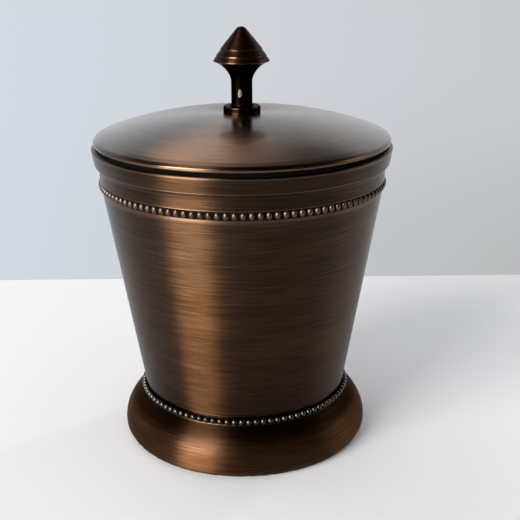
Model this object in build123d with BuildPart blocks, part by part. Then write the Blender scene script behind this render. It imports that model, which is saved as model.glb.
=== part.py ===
from build123d import *

import os
from math import atan2, cos, sin, sqrt

# Lidded candle tin: a spun, tapered metal cup on a bell-shaped foot, with a domed lid.
# Millimetres, +Z up, origin on the axis at the underside of the felt pad.

# ---- driving dimensions ----------------------------------------------------------------
sheet = 1.1                     # wall of the spun cup and foot
lid_sheet = 1.0                 # wall of the lid

felt_thickness = 0.9
felt_radius = 41.5
fit_gap = 0.05                  # play between parts that only touch

foot_rim_radius = 42.0          # outside of the foot where it meets the felt
foot_hem_point = (42.75, 2.2)   # the hem rolls inwards through this point
foot_max_radius = 42.9
foot_max_z = 3.6
bell_points = ((39.4, 12.3), (41.75, 9.0))          # outside of the bell, downwards
inner_bell_points = ((40.7, 8.4), (38.5, 11.6))     # inside of the bell, upwards
bell_top_slope = -0.75          # height lost per millimetre outwards at the ledge
shoulder_z = 15.85              # flat ledge that carries the lower beads
shoulder_radius = 36.1
neck_radius = 34.0              # plain neck between the foot and the cup
neck_z = 18.2                   # top of the neck, where the cup is soldered on

base_plate_thickness = 0.8

cup_bottom_radius = 35.17
cup_top_radius = 47.2           # cone at the upper bead groove
bead_groove_z = 88.9
bead_groove_height = 2.7
bead_groove_depth = 0.5
band_radius = 47.75             # recessed plain band above the beads
band_draft = 0.1                # the band narrows by this much at its foot
band_foot_z = 92.1
band_top_drop = 1.9             # band ends this far below the foot of the lip
lip_radius = 50.0
lip_base_radius = 49.15         # the lip narrows a little downwards
lip_base_z = 97.1
lip_step = 0.9                  # width and drop of the rounded step under the lip
lip_step_drop = 0.7
lip_waist = 0.28                # the lip face is hollow by about this much at mid height
lip_waist_rise = 0.6
lip_edge = 0.2                  # bevel round the top of the lip
lip_z = 102.05
cup_mouth_radius = 46.9         # inside of the folded lip
cup_floor_bend = 1.2            # bend radii of the cup, outside and inside
cup_heel_bend = 1.3
cup_shoulder_bend = 1.0
mouth_fold_bend = 0.6
crease_bends = (0.5, 0.8, 0.4)  # band top, step, foot of the lip

upper_bead_count = 116
upper_bead_half_width = 0.98
upper_bead_half_height = 1.22
upper_bead_reach = 48.15        # outermost point of a bead
lower_bead_count = 94
lower_bead_radius = 1.05
lower_bead_circle = 35.75
bead_strip = 0.35               # band that the upper beads stand on
bead_flat = 0.95                # solder flattens each lower bead: centre height / radius
solder_width = 0.45             # the solder fillet stops this far inside the bead circle
solder_height = 1.2

seal_thickness = 1.45
seal_outer_radius = 48.7
seal_inner_radius = 45.9
seal_edge_radius = 0.25

lid_radius = 49.3
skirt_height = 0.95
skirt_lean = 0.1                # the skirt leans out by this much
skirt_hem = 0.4                 # height of the rounded hem
skirt_hem_step = 0.2
skirt_bends = (0.3, 0.15, 0)
inner_shoulder_step = 0.35
dome_shoulder_radius = 46.9
dome_shoulder_z = 106.1
dome_mid_radius = 28.0
dome_mid_z = 111.1
dome_seat_radius = 6.6          # pressed flat that the finial stands on
dome_seat_z = 112.5
screw_clearance_radius = 2.2

flange_radius = 45.6            # guide ring inside the mouth of the cup
flange_wall = 0.8
flange_bottom_z = 95.2
flange_foot_radius = 48.2
flange_bends = (0.2, 0.2, 0.1, 0, 0, 0.9)

collar_radius = 6.15
collar_height = 2.3
collar_edge = 0.35              # rounding of the collar and of the foot of the stem
collar_foot_edge = 0.15
stem_foot_flare = 0.4
stem_radius = 3.5
stem_top_z = 122.6
trumpet_handles = ((6.7, 128.5), (3.5, 125.6))      # pull the flare from rim to stem
finial_max_radius = 9.2
finial_edge_z = 129.3
finial_edge_height = 0.25
finial_tip_z = 140.3
finial_tip_radius = 2.2
cone_foot = (6.85, 133.3)       # foot of the cone, above the first turned groove
cap_profile = (                 # two turned grooves and the bands between them
    (6.7, 133.05),
    (6.95, 132.75),
    (8.15, 131.3),
    (8.25, 131.0),
    (8.1, 130.8),
    (8.5, 130.55),
)

screw_radius = 2.0
screw_head_radius = 4.0
screw_head_height = 2.2
screw_head_dome = 0.9
screw_length = 11.0
cross_recess = (5.2, 1.0, 1.3)  # length, width and depth of each slot
washer_radius = 5.0
washer_thickness = 0.8

# ---- derived dimensions ----------------------------------------------------------------
foot_rim_z = felt_thickness
inner_foot_radius = foot_rim_radius - sheet
cone_slope = (cup_top_radius - cup_bottom_radius) / (bead_groove_z - neck_z)
wall_offset = sheet * sqrt(1 + cone_slope**2)       # horizontal thickness of the cone wall
cup_floor_z = neck_z + sheet
upper_bead_z = bead_groove_z + bead_groove_height / 2
upper_bead_circle = upper_bead_reach - upper_bead_half_width
groove_radius = cup_top_radius + cone_slope * bead_groove_height / 2 - bead_groove_depth
lower_bead_z = shoulder_z + lower_bead_radius * bead_flat
seal_z = lip_z + fit_gap
skirt_z = seal_z + seal_thickness + fit_gap
dome_inner_seat_z = dome_seat_z - lid_sheet
collar_top_z = dome_seat_z + collar_height
tip_centre_z = finial_tip_z - finial_tip_radius


def cone_radius(z):
    """Outer radius of the cup's straight wall at height z."""
    return cup_bottom_radius + cone_slope * (z - neck_z)


def tip_point(share):
    """Point on the rounded tip: share 0 is the top, 1 is where the cone takes over."""
    run, drop = cone_foot[0], tip_centre_z - cone_foot[1]
    reach = sqrt(run**2 + drop**2)
    turn = atan2(run, -drop) - atan2(sqrt(reach**2 - finial_tip_radius**2), finial_tip_radius)
    return (finial_tip_radius * sin(share * turn),
            tip_centre_z + finial_tip_radius * cos(share * turn))


def save(part, name):
    """Label a finished piece and write it to its own file."""
    part.label = name
    export_step(part, f"parts/{name}.step")


os.makedirs("parts", exist_ok=True)

# ---- foot: a spun bell with a flat top, open below ---------------------------------------
with BuildPart() as foot:
    with BuildSketch(Plane.XZ):
        with BuildLine():
            bell = Spline(
                (shoulder_radius, shoulder_z),
                *bell_points,
                (foot_max_radius, foot_max_z),
                tangents=((1, bell_top_slope), (0, -1)),
            )
            hem = ThreePointArc(bell @ 1, foot_hem_point, (foot_rim_radius, foot_rim_z))
            Polyline(
                hem @ 1,
                (inner_foot_radius, foot_rim_z),
                (inner_foot_radius, foot_rim_z + base_plate_thickness),
                (foot_max_radius - sheet, foot_max_z),
            )
            inner_bell = Spline(
                (foot_max_radius - sheet, foot_max_z),
                *inner_bell_points,
                (shoulder_radius - sheet, shoulder_z - sheet),
                tangents=((0, 1), (-1, -bell_top_slope)),
            )
            Polyline(
                inner_bell @ 1,
                (neck_radius - sheet, shoulder_z - sheet),
                (neck_radius - sheet, neck_z - sheet),
                (0, neck_z - sheet),
                (0, neck_z),
                (neck_radius, neck_z),
                (neck_radius, shoulder_z),
                (shoulder_radius, shoulder_z),
            )
        make_face()
    revolve(axis=Axis.Z)
save(foot.part, "foot")

# ---- base plate: a plain disc that closes the foot ---------------------------------------
with BuildPart() as base_plate:
    with BuildSketch(Plane.XY.offset(foot_rim_z)):
        Circle(inner_foot_radius - fit_gap)
    extrude(amount=base_plate_thickness)
save(base_plate.part, "base_plate")

# ---- felt pad ----------------------------------------------------------------------------
with BuildPart() as felt_pad:
    with BuildSketch():
        Circle(felt_radius)
    extrude(amount=felt_thickness)
save(felt_pad.part, "felt_pad")

# ---- cup body: floor, straight cone, bead groove, recessed band and folded lip -----------
with BuildPart() as cup_body:
    with BuildSketch(Plane.XZ):
        with BuildLine():
            groove_top_z = bead_groove_z + bead_groove_height
            outer = FilletPolyline(
                (0, neck_z),
                (cup_bottom_radius, neck_z),
                (cup_top_radius, bead_groove_z),
                (groove_radius, bead_groove_z),
                (groove_radius, groove_top_z),
                (cone_radius(groove_top_z), groove_top_z),
                (band_radius - band_draft, band_foot_z),
                (band_radius, lip_base_z - band_top_drop),
                (lip_base_radius - lip_step, lip_base_z - lip_step_drop),
                (lip_base_radius, lip_base_z),
                radius=[cup_heel_bend, 0, 0, 0, 0, *crease_bends],
            )
            lip_face = ThreePointArc(
                outer @ 1,
                (lip_radius - lip_waist, (lip_base_z + lip_z) / 2 + lip_waist_rise),
                (lip_radius, lip_z - lip_edge),
            )
            FilletPolyline(
                lip_face @ 1,
                (lip_radius - lip_edge, lip_z),
                (cup_mouth_radius, lip_z),
                (cup_mouth_radius, lip_base_z),
                (cone_radius(bead_groove_z) - wall_offset, bead_groove_z),
                (cup_bottom_radius - wall_offset + cone_slope * sheet, cup_floor_z),
                (0, cup_floor_z),
                radius=[0, mouth_fold_bend, 0, cup_shoulder_bend, cup_floor_bend],
            )
            Line((0, cup_floor_z), (0, neck_z))
        make_face()
    revolve(axis=Axis.Z)
save(cup_body.part, "cup_body")

# ---- upper bead ring: egg-shaped beads on a thin strip, soldered into the groove ---------
with BuildPart() as egg_bead:
    with BuildSketch(Plane.XZ):
        with BuildLine():
            EllipticalCenterArc(
                (0, 0), upper_bead_half_width, upper_bead_half_height, start_angle=-90, arc_size=180
            )
            Line((0, upper_bead_half_height), (0, -upper_bead_half_height))
        make_face()
    revolve(axis=Axis.Z)

with BuildPart() as upper_bead_ring:
    with BuildSketch(Plane.XY.offset(bead_groove_z)):
        Circle(groove_radius + bead_strip)
        Circle(groove_radius, mode=Mode.SUBTRACT)
    extrude(amount=bead_groove_height)
    with Locations((0, 0, upper_bead_z)):
        with PolarLocations(upper_bead_circle, upper_bead_count):
            add(egg_bead.part)
    with BuildSketch(Plane.XY.offset(bead_groove_z)):
        Circle(groove_radius)
    extrude(amount=bead_groove_height, mode=Mode.SUBTRACT)
save(upper_bead_ring.part, "upper_bead_ring")

# ---- lower bead ring: round beads strung on a wire round the neck ------------------------
with BuildPart() as round_bead:
    Sphere(lower_bead_radius)

with BuildPart() as lower_bead_ring:
    with BuildSketch(Plane.XY.offset(shoulder_z)):
        Circle(lower_bead_circle - solder_width)
        Circle(neck_radius, mode=Mode.SUBTRACT)
    extrude(amount=solder_height)
    with Locations((0, 0, lower_bead_z)):
        with PolarLocations(lower_bead_circle, lower_bead_count):
            add(round_bead.part)
    with BuildSketch(Plane.XY.offset(shoulder_z)):
        Circle(lower_bead_circle + 2 * lower_bead_radius)
    extrude(amount=-lower_bead_radius, mode=Mode.SUBTRACT)
save(lower_bead_ring.part, "lower_bead_ring")

# ---- lid seal: a flat rubber ring between the lip and the lid ----------------------------
with BuildPart() as lid_seal:
    with BuildSketch(Plane.XY.offset(seal_z)):
        Circle(seal_outer_radius)
        Circle(seal_inner_radius, mode=Mode.SUBTRACT)
    extrude(amount=seal_thickness)
    fillet(lid_seal.edges().filter_by(GeomType.CIRCLE).group_by(SortBy.RADIUS)[-1],
           seal_edge_radius)
save(lid_seal.part, "lid_seal")

# ---- lid dome: shallow spun dome with a short turned-down skirt --------------------------
with BuildPart() as lid_dome:
    with BuildSketch(Plane.XZ):
        with BuildLine():
            crown = ThreePointArc(
                (dome_seat_radius, dome_seat_z),
                (dome_mid_radius, dome_mid_z),
                (dome_shoulder_radius, dome_shoulder_z),
            )
            shoulder = TangentArc(
                crown @ 1, (lid_radius - skirt_lean, skirt_z + skirt_height), tangent=crown % 1
            )
            skirt = FilletPolyline(
                shoulder @ 1,
                (lid_radius, skirt_z + skirt_hem),
                (lid_radius - skirt_hem_step, skirt_z),
                (lid_radius - lid_sheet, skirt_z),
                (lid_radius - lid_sheet, skirt_z + skirt_height),
                radius=skirt_bends,
            )
            inner_shoulder = Line(
                skirt @ 1,
                (dome_shoulder_radius - inner_shoulder_step, dome_shoulder_z - lid_sheet),
            )
            inner_crown = ThreePointArc(
                inner_shoulder @ 1,
                (dome_mid_radius, dome_mid_z - lid_sheet),
                (dome_seat_radius, dome_inner_seat_z),
            )
            Polyline(
                inner_crown @ 1,
                (screw_clearance_radius, dome_inner_seat_z),
                (screw_clearance_radius, dome_seat_z),
                crown @ 0,
            )
        make_face()
    revolve(axis=Axis.Z)
save(lid_dome.part, "lid_dome")

# ---- lid flange: guide ring soldered inside the skirt ------------------------------------
with BuildPart() as lid_flange:
    with BuildSketch(Plane.XZ):
        with BuildLine():
            FilletPolyline(
                (flange_radius - flange_wall, flange_bottom_z),
                (flange_radius, flange_bottom_z),
                (flange_radius, skirt_z),
                (flange_foot_radius, skirt_z),
                (flange_foot_radius, skirt_z + flange_wall),
                (flange_radius - flange_wall, skirt_z + flange_wall),
                close=True,
                radius=flange_bends,
            )
        make_face()
    revolve(axis=Axis.Z)
save(lid_flange.part, "lid_flange")

# ---- finial: one turned knob, tapped from below ------------------------------------------
with BuildPart() as finial:
    with BuildSketch(Plane.XZ):
        with BuildLine():
            tip_arc = ThreePointArc((0, finial_tip_z), tip_point(0.5), tip_point(1))
            groove = Polyline(
                tip_arc @ 1,
                cone_foot,
                *cap_profile,
                (finial_max_radius, finial_edge_z + finial_edge_height),
                (finial_max_radius, finial_edge_z),
            )
            trumpet = Bezier(groove @ 1, *trumpet_handles, (stem_radius, stem_top_z))
            collar = FilletPolyline(
                trumpet @ 1,
                (stem_radius, collar_top_z + collar_edge),
                (stem_radius + stem_foot_flare, collar_top_z),
                (collar_radius, collar_top_z),
                (collar_radius, dome_seat_z),
                (0, dome_seat_z),
                radius=[0, 0, collar_edge, collar_foot_edge],
            )
            Line(collar @ 1, (0, finial_tip_z))
        make_face()
    revolve(axis=Axis.Z)
    with Locations(Location((0, 0, dome_seat_z), (180, 0, 0))):
        Hole(screw_radius, depth=screw_length)
save(finial.part, "finial")

# ---- washer and screw that hold the finial from inside the lid ---------------------------
washer_z = dome_inner_seat_z - washer_thickness
slot_length, slot_width, slot_depth = cross_recess

with BuildPart() as finial_washer:
    with BuildSketch(Plane.XY.offset(washer_z)):
        Circle(washer_radius)
        Circle(screw_clearance_radius, mode=Mode.SUBTRACT)
    extrude(amount=washer_thickness)
save(finial_washer.part, "finial_washer")

with BuildPart() as finial_screw:
    with BuildSketch(Plane.XY.offset(washer_z)):
        Circle(screw_head_radius)
    extrude(amount=-screw_head_height)
    fillet(finial_screw.faces().sort_by(Axis.Z)[0].edges(), screw_head_dome)
    with BuildSketch(Plane.XY.offset(washer_z)):
        Circle(screw_radius)
    extrude(amount=screw_length)
    with BuildSketch(Plane.XY.offset(washer_z - screw_head_height)):
        SlotOverall(slot_length, slot_width)
        SlotOverall(slot_length, slot_width, rotation=90)
    extrude(amount=slot_depth, mode=Mode.SUBTRACT)
save(finial_screw.part, "finial_screw")
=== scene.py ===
"""Looks of the lidded candle tin: spun antique-bronze shells, beads, turned knob, seal and felt.

The shared frame is in metres: +Z up, origin on the axis under the felt pad. The (radius, height)
points of the outlines, and the radii of their corners, are in millimetres.
"""

import math
from types import SimpleNamespace

import bmesh
import bpy
import numpy as np
from mathutils import Matrix, Vector, noise
from mathutils.geometry import interpolate_bezier


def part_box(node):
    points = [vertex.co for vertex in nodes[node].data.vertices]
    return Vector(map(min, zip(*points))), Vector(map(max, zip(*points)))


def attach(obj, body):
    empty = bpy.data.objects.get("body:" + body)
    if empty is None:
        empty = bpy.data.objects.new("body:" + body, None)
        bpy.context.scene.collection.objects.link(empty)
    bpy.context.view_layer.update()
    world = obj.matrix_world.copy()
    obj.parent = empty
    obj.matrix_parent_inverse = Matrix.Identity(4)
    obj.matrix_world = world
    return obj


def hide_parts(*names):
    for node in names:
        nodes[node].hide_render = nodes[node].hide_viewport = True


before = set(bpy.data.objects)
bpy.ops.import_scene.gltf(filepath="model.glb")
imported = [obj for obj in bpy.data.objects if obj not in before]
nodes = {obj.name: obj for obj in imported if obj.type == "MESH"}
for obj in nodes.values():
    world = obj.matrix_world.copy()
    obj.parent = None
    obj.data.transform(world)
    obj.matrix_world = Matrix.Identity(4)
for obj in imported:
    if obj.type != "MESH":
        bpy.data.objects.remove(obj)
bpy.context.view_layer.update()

MM = 0.001
TURN = 2 * math.pi
SHELL_AROUND = 288              # segments round a large shell
KNOB_AROUND = 160
FELT_AROUND = 720               # fine enough for the frayed edge
SHARP = math.radians(38)        # an edge that turns more than this is shaded as a crease
SAME_POINT = 1e-5               # millimetres: points of an outline closer than this are one
TINY = 1e-6                     # a radius or a length below this counts as none


# ---- outlines ----------------------------------------------------------------------------

def top_mm(node):
    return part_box(node)[1].z / MM


def bottom_mm(node):
    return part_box(node)[0].z / MM


def radius_mm(node):
    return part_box(node)[1].x / MM


def rounded(corners, steps=5):
    """Points along straight runs whose corners (r, z, radius) are rounded with arcs."""
    points = []
    last = len(corners) - 1
    for i, (r, z, radius) in enumerate(corners):
        here = Vector((r, z))
        if radius == 0 or i in (0, last):
            points.append(here)
            continue
        back = (Vector(corners[i - 1][:2]) - here).normalized()
        on = (Vector(corners[i + 1][:2]) - here).normalized()
        half = back.angle(on) / 2
        reach = radius / math.tan(half)
        centre = here + (back + on).normalized() * (radius / math.sin(half))
        start, end = here + back * reach, here + on * reach
        for k in range(steps + 1):
            chord = start.lerp(end, k / steps)
            points.append(centre + (chord - centre).normalized() * radius)
    return points


def arc_through(a, b, c, steps):
    """Points on the circle through three (r, z) points, from a to c."""
    (ax, ay), (bx, by), (cx, cy) = a, b, c
    d = 2 * (ax * (by - cy) + bx * (cy - ay) + cx * (ay - by))
    sa, sb, sc = ax**2 + ay**2, bx**2 + by**2, cx**2 + cy**2
    centre = Vector((
        (sa * (by - cy) + sb * (cy - ay) + sc * (ay - by)) / d,
        (sa * (cx - bx) + sb * (ax - cx) + sc * (bx - ax)) / d,
    ))
    first, final = Vector(a) - centre, Vector(c) - centre
    sweep = first.angle_signed(final)
    return [centre + Matrix.Rotation(-sweep * k / steps, 2) @ first for k in range(steps + 1)]


def bezier(start, start_handle, end_handle, end, steps):
    found = interpolate_bezier(
        *(Vector((p[0], p[1], 0)) for p in (start, start_handle, end_handle, end)), steps + 1
    )
    return [Vector((p.x, p.y)) for p in found]


def guarded(points, guard=0.18, longest=4.0):
    """The outline with extra points beside its corners and along its long runs.

    They keep the shading of a flat stretch from bleeding into the rounding next to it."""
    out = [points[0]]
    for a, b in zip(points, points[1:]):
        length = (b - a).length
        if length < SAME_POINT:
            continue
        if length > 3 * guard:
            parts = max(1, math.ceil(length / longest))
            marks = [guard / length]
            marks += [k / parts for k in range(1, parts)]
            marks += [1 - guard / length]
            out += [a.lerp(b, t) for t in sorted(set(marks))]
        out.append(b)
    return out


def edge_feel(points, reach=0.28):
    """How convex (towards 1) or hollow (towards 0) the outline is at each point; flat is 0.5."""
    count = len(points)
    length = np.zeros(count)
    turn = np.zeros(count)
    for i in range(1, count):
        length[i] = length[i - 1] + (points[i] - points[i - 1]).length
    for i in range(1, count - 1):
        before, after = points[i] - points[i - 1], points[i + 1] - points[i]
        if before.length > TINY and after.length > TINY:
            turn[i] = -before.angle_signed(after)
    weights = np.exp(-((length[:, None] - length[None, :]) / reach) ** 2)
    return np.clip(0.5 + 0.5 * (weights @ turn), 0, 1)


# ---- meshes ------------------------------------------------------------------------------

DENT_ROUND, DENT_UP = 1.3, 0.02         # how quickly the wobble of a spun shell changes


def wobbled(radius, direction, height, depth, seed):
    """The radius, pushed in or out by up to depth, as spun metal is never quite round."""
    if not depth:
        return radius
    spot = direction * DENT_ROUND + Vector((seed, 0, height * DENT_UP))
    return radius + depth * noise.noise(spot)


def lathe(name, points, around=SHELL_AROUND, closed=False, wobble=0.0, seed=0.0):
    """Turns an outline round the axis. Its outside runs upwards, and a closed one is a loop."""
    points = guarded([*points, points[0]] if closed else points)
    feel = edge_feel(points)
    if closed:
        points, feel = points[:-1], feel[:-1]
    mesh = bmesh.new()
    layer = mesh.verts.layers.float.new("edge_feel")
    rings = []
    for point, value in zip(points, feel):
        if point.x < TINY:
            pole = mesh.verts.new((0, 0, point.y * MM))
            pole[layer] = value
            rings.append([pole] * around)
            continue
        ring = []
        for k in range(around):
            angle = TURN * k / around
            direction = Vector((math.cos(angle), math.sin(angle), 0))
            radius = wobbled(point.x * MM, direction, point.y, wobble, seed)
            vert = mesh.verts.new(direction * radius + Vector((0, 0, point.y * MM)))
            vert[layer] = value
            ring.append(vert)
        rings.append(ring)
    pairs = list(zip(rings, rings[1:]))
    if closed:
        pairs.append((rings[-1], rings[0]))
    for low, high in pairs:
        for k in range(around):
            n = (k + 1) % around
            corners = [low[k], low[n], high[n], high[k]]
            unique = [v for i, v in enumerate(corners) if v not in corners[:i]]
            if len(unique) > 2:
                mesh.faces.new(unique)
    bmesh.ops.recalc_face_normals(mesh, faces=mesh.faces)
    data = bpy.data.meshes.new(name)
    mesh.to_mesh(data)
    mesh.free()
    data.polygons.foreach_set("use_smooth", [True] * len(data.polygons))
    data.set_sharp_from_angle(angle=SHARP)
    piece = bpy.data.objects.new(name, data)
    bpy.context.scene.collection.objects.link(piece)
    return piece


def dress(piece, material, body, replaced):
    piece.data.materials.append(material)
    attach(piece, body)
    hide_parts(replaced)
    return piece


# ---- node helpers ------------------------------------------------------------------------

class Nodes:
    """Short names for building a node tree."""

    def __init__(self, tree):
        self.tree = tree
        tree.nodes.clear()

    def add(self, kind, **settings):
        node = self.tree.nodes.new(kind)
        for key, value in settings.items():
            setattr(node, key, value)
        return node

    def feed(self, node, socket, value):
        """Links the input to another node's output, or sets a plain value; None leaves it."""
        if isinstance(value, bpy.types.NodeSocket):
            self.tree.links.new(value, node.inputs[socket])
        elif value is not None:
            node.inputs[socket].default_value = value

    def feed_colour(self, node, socket, value):
        self.feed(node, socket, (*value, 1) if isinstance(value, tuple) else value)

    def coordinates(self, kind):
        return self.add("ShaderNodeTexCoord").outputs[kind]

    def split(self, vector):
        node = self.add("ShaderNodeSeparateXYZ")
        self.feed(node, 0, vector)
        return node.outputs

    def combine(self, x, y, z):
        node = self.add("ShaderNodeCombineXYZ")
        for socket, value in zip("XYZ", (x, y, z)):
            self.feed(node, socket, value)
        return node.outputs[0]

    def math(self, operation, a, b=None, clamp=False):
        node = self.add("ShaderNodeMath", operation=operation, use_clamp=clamp)
        self.feed(node, 0, a)
        self.feed(node, 1, b)
        return node.outputs[0]

    def weigh(self, *shares):
        """The sum of (value, weight) pairs."""
        total, *others = [self.math("MULTIPLY", value, weight) for value, weight in shares]
        for other in others:
            total = self.math("ADD", total, other)
        return total

    def sway(self, value, pattern, amount, clamp=False):
        """The value, moved up and down by a pattern that runs from 0 to 1."""
        moved = self.math("MULTIPLY", self.math("SUBTRACT", pattern, 0.5), amount)
        return self.math("ADD", value, moved, clamp=clamp)

    def vector(self, operation, a, b=None, output=0):
        node = self.add("ShaderNodeVectorMath", operation=operation)
        self.feed(node, 0, a)
        self.feed(node, 1, b)
        return node.outputs[output]

    def scale(self, colour, share):
        node = self.add("ShaderNodeVectorMath", operation="SCALE")
        self.feed(node, 0, colour)
        self.feed(node, "Scale", share)
        return node.outputs[0]

    def noise(self, vector, scale, detail=4.0, roughness=0.55, distortion=0.0):
        node = self.add("ShaderNodeTexNoise")
        for socket, value in (
            ("Vector", vector), ("Scale", scale), ("Detail", detail),
            ("Roughness", roughness), ("Distortion", distortion),
        ):
            self.feed(node, socket, value)
        return node.outputs["Fac"]

    def steps(self, value, low, high, out_low=0.0, out_high=1.0):
        """A smooth change from out_low to out_high as the value goes from low to high."""
        node = self.add("ShaderNodeMapRange", interpolation_type="SMOOTHSTEP")
        for socket, given in (
            ("Value", value), ("From Min", low), ("From Max", high),
            ("To Min", out_low), ("To Max", out_high),
        ):
            self.feed(node, socket, given)
        return node.outputs[0]

    def mix(self, share, a, b):
        node = self.add("ShaderNodeMix", data_type="RGBA")
        self.feed(node, "Factor", share)
        self.feed_colour(node, 6, a)
        self.feed_colour(node, 7, b)
        return node.outputs[2]

    def bump(self, height, distance, strength=1.0, below=None):
        node = self.add("ShaderNodeBump")
        self.feed(node, "Strength", strength)
        self.feed(node, "Distance", distance)
        self.feed(node, "Height", height)
        self.feed(node, "Normal", below)
        return node.outputs[0]


class Finish(Nodes):
    """One material: its tree, and the shader that the tree feeds."""

    def __init__(self, name):
        self.material = bpy.data.materials.new(name)
        self.material.use_nodes = True
        super().__init__(self.material.node_tree)
        output = self.add("ShaderNodeOutputMaterial")
        self.shader = self.add("ShaderNodeBsdfPrincipled")
        self.feed(output, "Surface", self.shader.outputs[0])

    def set(self, **values):
        for key, value in values.items():
            self.feed(self.shader, key.replace("_", " "), value)


ON_AXIS = 1e-5                          # metres: the smallest radius that is divided by


def around_axis(n):
    """Where a shaded point is: on the object, round the axis, and along the outline."""
    where = n.coordinates("Object")
    x, y, z = n.split(where)
    squares = n.math("ADD", n.math("MULTIPLY", x, x), n.math("MULTIPLY", y, y))
    radius = n.math("MAXIMUM", n.math("SQRT", squares), ON_AXIS)
    return SimpleNamespace(
        where=where, z=z, radius=radius, along=n.math("SUBTRACT", z, radius),
        cos=n.math("DIVIDE", x, radius), sin=n.math("DIVIDE", y, radius),
    )


def brushed(n, at, turns, line, detail=3.0):
    """Streaks that run round the axis: long one way, line metres wide the other way."""
    grain = n.combine(
        n.math("MULTIPLY", at.cos, turns), n.math("MULTIPLY", at.sin, turns),
        n.math("MULTIPLY", at.along, 1 / line),
    )
    return n.noise(grain, 1.0, detail=detail, roughness=0.6)


# ---- bronze ------------------------------------------------------------------------------

WORN_AND_HIGHLIGHT = (0.30, 0.18, 0.10)               # where the lacquer is rubbed or scratched through; on the lid's hem edge also a painted highlight
GRIME = (0.006, 0.004, 0.003)           # what gathers in the hollows
FLAKED = (0.11, 0.115, 0.10)            # where a chip of the finish has come off


def flaked(n, where, centre, size):
    """1 inside a chip with a ragged outline, 0 outside it."""
    span = n.vector("LENGTH", n.vector("DIVIDE", n.vector("SUBTRACT", where, centre), size),
                    output="Value")
    ragged = n.math("MULTIPLY", n.noise(where, 1400, detail=3), 0.9)
    return n.steps(n.math("ADD", span, ragged), 1.35, 1.15)


def bronze(name, dark, warm, roughness, coat, grain=1.0, anisotropy=1.0, edge_wear_and_highlight_share=0.35,
           coat_roughness=0.12, painted_shade_and_darkening=(), low_tint=None, chip=None, edge_tint=(1, 1, 1)):
    """Lacquered antique bronze, brushed round the axis, with rubbed edges, which a high edge
    share makes a painted highlight too, and dark hollows.

    Each (axis, start, end, share) band of the darkening argument scales the colour and the coat
    down to share from start to end, measured along "z" or "radius": painted shade in the bead
    gaps, on the lip top under the seal, on the lid skirt and on the foot shoulder, plain
    darkening elsewhere;
    low_tint=(start, end, colour) tints what lies below; chip=(centre, size) is a place where the
    finish has flaked off; edge_tint colours what the metal mirrors at a glancing angle."""
    n = Finish(name)
    at = around_axis(n)
    fine = brushed(n, at, 3.2, 0.00022)
    medium = brushed(n, at, 1.8, 0.0006, detail=4)
    broad = brushed(n, at, 1.2, 0.006)
    cloud = n.noise(at.where, 26, roughness=0.5)
    scratch = n.steps(brushed(n, at, 2.5, 0.0004, detail=1.5), 0.73, 0.79)
    feel = n.add("ShaderNodeAttribute", attribute_name="edge_feel").outputs["Fac"]
    edge_wear_and_highlight = n.steps(n.sway(feel, medium, 0.35), 0.66, 0.86)
    hollow = n.steps(feel, 0.42, 0.25)

    tone = n.steps(n.weigh((broad, 0.45), (cloud, 0.25), (medium, 0.30)), 0.36, 0.64)
    contrast = 0.45 * grain
    colour = n.scale(n.mix(tone, dark, warm), n.steps(fine, 0.3, 0.7, 1 - contrast, 1 + contrast))
    if low_tint:
        start, end, tint = low_tint
        colour = n.mix(n.steps(at.z, start, end), n.vector("MULTIPLY", colour, tint), colour)
    lacquer = coat
    for axis, start, end, share in painted_shade_and_darkening:
        kept = n.steps(at.z if axis == "z" else at.radius, start, end, 1.0, share)
        colour = n.scale(colour, kept)
        lacquer = n.math("MULTIPLY", lacquer, kept)
    colour = n.mix(n.math("MULTIPLY", scratch, 0.22 * grain), colour, WORN_AND_HIGHLIGHT)
    colour = n.mix(n.math("MULTIPLY", edge_wear_and_highlight, edge_wear_and_highlight_share), colour, WORN_AND_HIGHLIGHT)
    colour = n.mix(n.math("MULTIPLY", hollow, 0.7), colour, GRIME)

    rough = n.sway(n.sway(roughness, medium, 0.08 * grain), cloud, 0.06)
    rough = n.math("ADD", rough, n.math("MULTIPLY", hollow, 0.2), clamp=True)
    if chip:
        bare = flaked(n, at.where, *chip)
        colour = n.mix(bare, colour, FLAKED)
        rough = n.math("ADD", rough, n.math("MULTIPLY", bare, 0.35), clamp=True)

    dents = n.bump(n.noise(at.where, 14, detail=1), 0.0004, 0.12)
    lines = n.bump(n.weigh((fine, 0.8), (medium, 0.2)), 0.00004 * grain, below=dents)
    tangent = n.add("ShaderNodeTangent", direction_type="RADIAL", axis="Z").outputs[0]
    n.set(Base_Color=colour, Metallic=1.0, Roughness=rough, Normal=lines, Tangent=tangent,
          Anisotropic=anisotropy, Anisotropic_Rotation=0.25,
          Coat_Weight=lacquer, Coat_Roughness=coat_roughness, Coat_IOR=1.45,
          Specular_Tint=(*edge_tint, 1))
    return n.material


# Bands that bronze() darkens, some of them painted shade; RECESSED_BAND takes in the lip above it
# too.
RECESSED_BAND = ("z", 0.0910, 0.0920, 0.85)
LOWER_CUP = ("z", 0.045, 0.020, 0.75)
# painted shade: the lip top in the gap under the lid, darkened to a fifth
LIP_TOP_SHADE = ("z", 0.10190, 0.10200, 0.2)
# painted shade: the foot's shoulder under the lower beads, darkened to a quarter
FOOT_SHOULDER_SHADE = ("z", 0.0095, 0.0135, 0.25)
# painted shade: the lid's skirt darkened in place of the dark it mirrors
LID_SKIRT_SHADE = ("z", 0.1052, 0.1048, 0.3)
KNOB_STEM = ("z", 0.1300, 0.1285, 0.04)
# painted shade: the strip between and behind the beads of each ring, darkened almost to black
UPPER_BEAD_GAP_SHADE = ("radius", 0.04765, 0.04735, 0.03)
LOWER_BEAD_GAP_SHADE = ("radius", 0.0359, 0.0353, 0.08)
STEM_CHIP = ((-0.0006, -0.0035, 0.1192), (0.0008, 0.0016, 0.0017))

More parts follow.
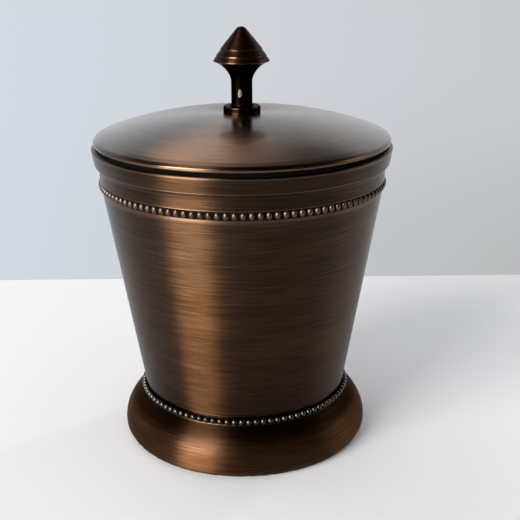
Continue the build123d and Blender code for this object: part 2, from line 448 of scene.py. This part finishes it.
body_bronze = bronze(
    "body_bronze", (0.034, 0.0168, 0.0076), (0.058, 0.0300, 0.0143), 0.45, 0.15,
    coat_roughness=0.15, painted_shade_and_darkening=[RECESSED_BAND, LOWER_CUP, LIP_TOP_SHADE],
    low_tint=(0.050, 0.085, (1.0, 0.87, 0.74)),
)
foot_bronze = bronze(
    "foot_bronze", (0.046, 0.0195, 0.0076), (0.084, 0.0363, 0.0140), 0.44, 0.08,
    coat_roughness=0.22, painted_shade_and_darkening=[FOOT_SHOULDER_SHADE], edge_tint=(0.55, 0.5, 0.45),
)
# On the lid the edge share of 0.6 paints a highlight along the hem's lower edge, over its wear.
lid_bronze = bronze(
    "lid_bronze", (0.060, 0.036, 0.023), (0.095, 0.059, 0.038), 0.245, 0.28,
    anisotropy=0.90, coat_roughness=0.10, edge_wear_and_highlight_share=0.6, painted_shade_and_darkening=[LID_SKIRT_SHADE],
)
knob_bronze = bronze(
    "knob_bronze", (0.036, 0.0125, 0.0060), (0.070, 0.0245, 0.0112), 0.22, 0.25,
    grain=0.3, anisotropy=0.6, coat_roughness=0.25, edge_wear_and_highlight_share=0.10, painted_shade_and_darkening=[KNOB_STEM],
    chip=STEM_CHIP, edge_tint=(0.3, 0.28, 0.26),
)
upper_bead_bronze = bronze(
    "upper_bead_bronze", (0.150, 0.088, 0.058), (0.24, 0.142, 0.094), 0.33, 0.6,
    grain=0.3, anisotropy=0.0, coat_roughness=0.16, painted_shade_and_darkening=[UPPER_BEAD_GAP_SHADE],
)
lower_bead_bronze = bronze(
    "lower_bead_bronze", (0.032, 0.025, 0.021), (0.058, 0.045, 0.037), 0.28, 1.0,
    grain=0.3, anisotropy=0.0, coat_roughness=0.13, painted_shade_and_darkening=[LOWER_BEAD_GAP_SHADE],
)


# ---- other materials ---------------------------------------------------------------------

def plain_metal(name, colour, roughness):
    """Zinc or mill-finish steel with a faint turned grain and dull blotches."""
    n = Finish(name)
    at = around_axis(n)
    lines = brushed(n, at, 6, 0.0004)
    cloud = n.noise(at.where, 90, detail=5)
    blotch = tuple(c * 0.72 for c in colour)
    n.set(Base_Color=n.mix(n.steps(cloud, 0.35, 0.7), blotch, colour), Metallic=1.0,
          Roughness=n.sway(roughness, lines, 0.25, clamp=True), Normal=n.bump(lines, 0.00002))
    return n.material


def rubber():
    """Matt black silicone with a fine bloom of dust."""
    n = Finish("black_rubber")
    where = n.coordinates("Object")
    dust = n.noise(where, 900, detail=3, roughness=0.7)
    cloud = n.noise(where, 60, detail=3)
    black, dusty = (0.0015, 0.0018, 0.0015), (0.008, 0.008, 0.008)
    n.set(Base_Color=n.mix(n.steps(dust, 0.55, 0.8, 0.0, 0.25), black, dusty),
          Roughness=n.steps(cloud, 0.3, 0.7, 0.75, 0.9), Normal=n.bump(dust, 0.00003),
          Specular_IOR_Level=0.03)
    return n.material


def felt():
    """Pressed black felt: matted fibres with a little sheen."""
    n = Finish("black_felt")
    where = n.coordinates("Object")
    fibre = n.noise(where, 1400, detail=5, roughness=0.75, distortion=1.2)
    clump = n.noise(where, 260, detail=3)
    deep, bright = (0.004, 0.004, 0.005), (0.035, 0.034, 0.036)
    height = n.weigh((fibre, 0.6), (clump, 0.4))
    n.set(Base_Color=n.mix(fibre, deep, bright), Roughness=0.95,
          Normal=n.bump(height, 0.0002), Sheen_Weight=0.35, Sheen_Roughness=0.5,
          Specular_IOR_Level=0.15)
    return n.material


zinc = plain_metal("zinc_steel", (0.62, 0.62, 0.60), 0.32)
plate_steel = plain_metal("plate_steel", (0.36, 0.36, 0.37), 0.45)
black_rubber = rubber()
black_felt = felt()


# ---- cup ---------------------------------------------------------------------------------

WALL = 1.1                              # sheet of the cup and the foot


def cup():
    floor_z = bottom_mm("cup_body")
    lip_z = top_mm("cup_body")
    lip_r = radius_mm("cup_body")
    groove_low, groove_high = bottom_mm("upper_bead_ring"), top_mm("upper_bead_ring")
    foot_r, cone_r = 35.17, 47.2
    slope = (cone_r - foot_r) / (groove_low - floor_z)
    level_wall = WALL * 1.014           # the sloping wall, measured level
    band_r, mouth_r, groove_r = 47.75, 46.9, 46.93
    lip_base_r, lip_base_z = 49.15, lip_z - 4.95
    outline = rounded([
        (0, floor_z, 0),
        (foot_r, floor_z, 1.3),
        (cone_r, groove_low, 0.1),
        (groove_r, groove_low, 0),
        (groove_r, groove_high, 0),
        (cone_r + slope * (groove_high - groove_low), groove_high, 0.1),
        (band_r - 0.1, groove_high + 0.5, 0),
        (band_r, lip_base_z - 1.9, 0.5),
        (lip_base_r - 0.9, lip_base_z - 0.7, 0.8),
        (lip_base_r, lip_base_z, 0.3),
        (lip_r - 0.28, (lip_base_z + lip_z) / 2 + 0.6, 6.0),
        (lip_r, lip_z - 0.2, 0.08),
        (lip_r - 0.2, lip_z, 0.08),
        (mouth_r, lip_z, 0.6),
        (mouth_r, lip_base_z, 0.5),
        (cone_r - level_wall, groove_low, 1.0),
        (foot_r - WALL, floor_z + WALL, 1.2),
        (0, floor_z + WALL, 0),
    ])
    piece = lathe("cup", outline, wobble=0.00006, seed=3.1)
    return dress(piece, body_bronze, "cup", "cup_body")


# ---- foot --------------------------------------------------------------------------------

def foot():
    rim_z, neck_z = bottom_mm("foot"), top_mm("foot")
    rim_r, neck_r = 42.0, 34.0
    widest_r, widest_z = 42.9, 3.6
    shoulder_r, shoulder_z = 36.1, 15.85
    bell = bezier((rim_r, rim_z), (42.55, rim_z + 1.0), (widest_r, widest_z - 1.2),
                  (widest_r, widest_z), 8)
    bell += bezier((widest_r, widest_z), (widest_r, 8.6), (40.1, 12.0),
                   (shoulder_r, shoulder_z), 30)[1:]
    neck = rounded([
        (shoulder_r, shoulder_z, 0),
        (neck_r, shoulder_z, 0.1),
        (neck_r, neck_z, 0.15),
        (0, neck_z, 0),
    ])
    inside = rounded([
        (0, neck_z - WALL, 0),
        (neck_r - WALL, neck_z - WALL, 0.3),
        (neck_r - WALL, shoulder_z - WALL, 0.5),
        (shoulder_r - 1.0, shoulder_z - WALL, 0.5),
        (39.4, 11.0, 6.0),
        (widest_r - WALL, widest_z + 1, 2.0),
        (rim_r - WALL, rim_z, 0.1),
    ])
    piece = lathe("foot_bell", bell + neck[1:] + inside + [bell[0]], wobble=0.00004, seed=7.7)
    return dress(piece, foot_bronze, "cup", "foot")


# ---- lid ---------------------------------------------------------------------------------

def lid():
    skirt_z, seat_z = bottom_mm("lid_dome"), bottom_mm("finial")
    sheet = 1.0
    rim_r, hole_r, flat_r = 49.3, 2.2, 6.6      # flat_r: the flat that carries the knob
    crown_r, crown_z = 46.9, seat_z - 6.4
    under_r, under_z = 46.5, seat_z - 7.4
    outside = rounded([
        (rim_r - sheet, skirt_z, 0),
        (rim_r - 0.2, skirt_z, 0.10),
        (rim_r, skirt_z + 0.35, 0.20),
        (rim_r, seat_z - 7.85, 0.9),
        (48.55, seat_z - 7.1, 1.2),
        (crown_r, crown_z, 0),
    ])
    crown = arc_through((flat_r, seat_z), (28.0, seat_z - 1.4), (crown_r, crown_z), 40)
    hole = rounded([
        (flat_r, seat_z, 0),
        (hole_r, seat_z, 0),
        (hole_r, seat_z - sheet, 0),
        (flat_r, seat_z - sheet, 0),
    ])
    under = arc_through((flat_r, seat_z - sheet), (27.9, seat_z - 2.4), (under_r, under_z), 24)
    skirt = rounded([
        (under_r, under_z, 0),
        (rim_r - sheet, skirt_z + 0.95, 0.5),
        (rim_r - sheet, skirt_z, 0),
    ])
    outline = outside + crown[::-1][1:] + hole[1:] + under[1:] + skirt[1:-1]
    piece = lathe("lid", outline, closed=True, wobble=0.00004, seed=1.9)
    return dress(piece, lid_bronze, "lid", "lid_dome")


# ---- knob --------------------------------------------------------------------------------

def knob():
    seat_z, tip_z = bottom_mm("finial"), top_mm("finial")
    widest_r, edge_z = radius_mm("finial"), 129.3
    stem_r, stem_top_z = 3.5, 122.6
    collar_r, collar_z = 6.15, seat_z + 2.3
    bore_r, bore_z = 2.0, seat_z + 11.0
    cone_top = (1.69, 139.51)
    bore = rounded([(0, bore_z, 0), (bore_r, bore_z - 1, 0)])
    stem = rounded([
        (bore_r, seat_z, 0),
        (collar_r, seat_z, 0.15),
        (collar_r, collar_z, 0.35),
        (stem_r + 0.4, collar_z, 0.1),
        (stem_r, collar_z + 0.35, 0.2),
        (stem_r, stem_top_z, 0),
    ])
    trumpet = bezier((stem_r, stem_top_z), (stem_r, 125.6), (6.7, 128.5), (widest_r, edge_z), 18)
    cap = rounded([
        (widest_r, edge_z, 0),
        (widest_r, edge_z + 0.25, 0.12),
        (8.5, 130.55, 0.1),
        (8.1, 130.8, 0.08),
        (8.25, 131.0, 0.1),
        (8.15, 131.3, 0.15),
        (6.95, 132.75, 0.1),
        (6.7, 133.05, 0.1),
        (6.85, 133.3, 0.12),
        (*cone_top, 0),
    ], steps=4)
    tip = arc_through(cone_top, (0.94, 140.09), (0, tip_z), 8)
    piece = lathe("knob", bore + stem + trumpet[1:] + cap[1:] + tip[1:], around=KNOB_AROUND)
    return dress(piece, knob_bronze, "lid", "finial")


# ---- seal and felt -----------------------------------------------------------------------

def seal():
    low, high = bottom_mm("lid_seal"), top_mm("lid_seal")
    outer_r, inner_r = radius_mm("lid_seal"), 45.9
    middle_r = (outer_r + inner_r) / 2
    outline = rounded([
        (middle_r, low, 0),
        (outer_r, low, 0.25),
        (outer_r, high, 0.25),
        (inner_r, high, 0.15),
        (inner_r, low, 0.15),
        (middle_r, low, 0),
    ])
    piece = lathe("seal", outline[:-1], closed=True)
    return dress(piece, black_rubber, "seal", "lid_seal")


def felt_disc():
    thick, r = top_mm("felt_pad"), radius_mm("felt_pad")
    outline = rounded([(0, 0, 0), (r, 0, 0.2), (r, thick, 0.15), (0, thick, 0)])
    piece = lathe("felt", outline, around=FELT_AROUND)
    frayed_r = (r - 0.6) * MM
    for vert in piece.data.vertices:
        out = Vector((vert.co.x, vert.co.y, 0))
        if out.length > frayed_r:
            ragged = noise.noise(vert.co * 1500) * 0.22 + noise.noise(vert.co * 420) * 0.18
            vert.co += out.normalized() * ragged * MM
    return dress(piece, black_felt, "cup", "felt_pad")


cup()
foot()
lid()
knob()
seal()
felt_pad = felt_disc()

for name, material in (
    ("upper_bead_ring", upper_bead_bronze),
    ("lower_bead_ring", lower_bead_bronze),
    ("lid_flange", lid_bronze),
    ("base_plate", plate_steel),
    ("finial_screw", zinc),
    ("finial_washer", zinc),
):
    data = nodes[name].data
    data.materials.clear()
    data.materials.append(material)


# ---- table, lamps and room ---------------------------------------------------------------

def table():
    side, front, back = 2.0, -1.2, 0.152
    data = bpy.data.meshes.new("table")
    data.from_pydata([(-side, front, 0), (side, front, 0), (side, back, 0), (-side, back, 0)],
                     [], [(0, 1, 2, 3)])
    plane = bpy.data.objects.new("table", data)
    bpy.context.scene.collection.objects.link(plane)
    n = Finish("table")
    n.set(Base_Color=(0.86, 0.86, 0.86, 1), Roughness=0.6, Specular_IOR_Level=0.25)
    data.materials.append(n.material)


def softbox(name, place, aim, width, height, power, colour, mirrored):
    """A flat lamp that is either only mirrored by the tin or only shines on things."""
    light = bpy.data.lights.new(name, "AREA")
    light.shape = "RECTANGLE"
    light.size, light.size_y = width, height
    light.energy = power
    light.color = colour
    lamp = bpy.data.objects.new(name, light)
    lamp.location = place
    lamp.rotation_euler = (Vector(aim) - Vector(place)).to_track_quat("-Z", "Y").to_euler()
    lamp.visible_glossy = mirrored
    lamp.visible_diffuse = not mirrored
    bpy.context.scene.collection.objects.link(lamp)


table()

WINDOW = dict(place=(-0.976, -0.984, 0.82), aim=(0, 0, 0.60), width=0.834, height=1.45)
softbox("window_glow", power=90, colour=(1.0, 0.98, 0.95), mirrored=True, **WINDOW)
softbox("window_key", power=32, colour=(1.0, 0.99, 0.97), mirrored=False, **WINDOW)
softbox("sky_key", (-1.0, 1.1, 1.3), (0, 0.2, 0), width=1.5, height=1.5, power=7,
        colour=(0.97, 0.98, 1.0), mirrored=False)
softbox("side_glow", (1.5, 0.1, 0.5), (0, 0, 0.07), width=0.7, height=1.2, power=1.7,
        colour=(1.0, 0.90, 0.78), mirrored=True)


def mirrored_room(n, x, y, z):
    """What the tin mirrors in each direction: x to the right, y away from the camera, z up."""
    dark, dim = (0.030, 0.027, 0.025), (0.11, 0.10, 0.095)

    lower = n.mix(n.steps(x, -0.7, 0.7), (0.84, 0.90, 0.97), (0.75, 0.75, 0.73))
    upper = n.mix(n.steps(x, -0.7, 0.7), (0.84, 0.92, 0.98), (0.96, 1.00, 1.03))
    wall = n.mix(n.steps(z, 0.10, 0.36), lower, upper)

    lit = n.mix(n.steps(x, 0.02, -0.10), (1.30, 1.02, 0.86), (3.7, 2.8, 2.25))
    lit = n.mix(n.steps(x, 0.22, 0.04), dim, lit)
    lit = n.mix(n.steps(x, -0.36, -0.22), dim, lit)
    ceiling = n.mix(n.steps(z, 0.78, 0.92), lit, dim)
    far_side = n.mix(n.steps(z, 0.50, 0.68), wall, ceiling)

    near_side = n.mix(n.steps(x, -0.50, 0.10), (1.5, 1.40, 1.25), dark)
    near_side = n.mix(n.steps(z, 0.25, 0.05), near_side, dark)
    near_side = n.mix(n.steps(z, 0.32, 0.52), near_side, dark)

    far_left = n.mix(n.steps(z, 0.15, 0.35), (1.0, 1.0, 1.0), (0.05, 0.05, 0.05))
    room = n.mix(n.steps(y, -0.25, 0.35), near_side, far_side)
    return n.mix(n.steps(x, -0.98, -0.75), far_left, room)


def backdrop(n, x, z):
    """What the camera sees behind the table: pale blue at the left, grey at the right, darker low
    on the right; the change across is painted light and shade on the wall.
    """
    right = n.mix(n.steps(z, -0.34, -0.12), (0.46, 0.46, 0.455), (0.575, 0.58, 0.60))
    return n.mix(n.steps(x, -0.35, 0.45), (0.66, 0.71, 0.77), right)


def surroundings():
    """The world: one look for mirrored rays, one for the camera and an even fill for the rest."""
    world = bpy.data.worlds.new("room")
    bpy.context.scene.world = world
    world.use_nodes = True
    n = Nodes(world.node_tree)

    def background(colour):
        node = n.add("ShaderNodeBackground")
        n.feed_colour(node, "Color", colour)
        return node.outputs[0]

    def choose(share, a, b):
        node = n.add("ShaderNodeMixShader")
        for socket, value in enumerate((share, a, b)):
            n.feed(node, socket, value)
        return node.outputs[0]

    x, y, z = n.split(n.coordinates("Generated"))
    rays = n.add("ShaderNodeLightPath").outputs
    fill = background((0.56, 0.57, 0.59))
    shown = choose(rays["Is Glossy Ray"], fill, background(mirrored_room(n, x, y, z)))
    shown = choose(rays["Is Camera Ray"], shown, background(backdrop(n, x, z)))
    n.feed(n.add("ShaderNodeOutputWorld"), "Surface", shown)


surroundings()


# ---- camera ------------------------------------------------------------------------------

def camera():
    """Seen from a little above the knob, turned down, slightly right and hardly rolled."""
    down, right, roll = math.radians(18.67), math.radians(1.02), math.radians(0.27)
    place = (0, -0.3212, 0.1694)
    forward = Vector((math.sin(right) * math.cos(down), math.cos(right) * math.cos(down),
                      -math.sin(down)))
    side = Vector((math.cos(right), -math.sin(right), 0))
    below = forward.cross(side)
    x = side * math.cos(roll) + below * math.sin(roll)
    y = side * math.sin(roll) - below * math.cos(roll)
    data = bpy.data.cameras.new("camera")
    data.lens, data.sensor_width = 67.5, 36
    data.clip_start = 0.01
    eye = bpy.data.objects.new("camera", data)
    turn = Matrix((x, y, -forward)).transposed()
    eye.matrix_world = Matrix.Translation(place) @ turn.to_4x4()
    bpy.context.scene.collection.objects.link(eye)
    bpy.context.scene.camera = eye


camera()
bpy.context.scene.view_settings.view_transform = "Standard"
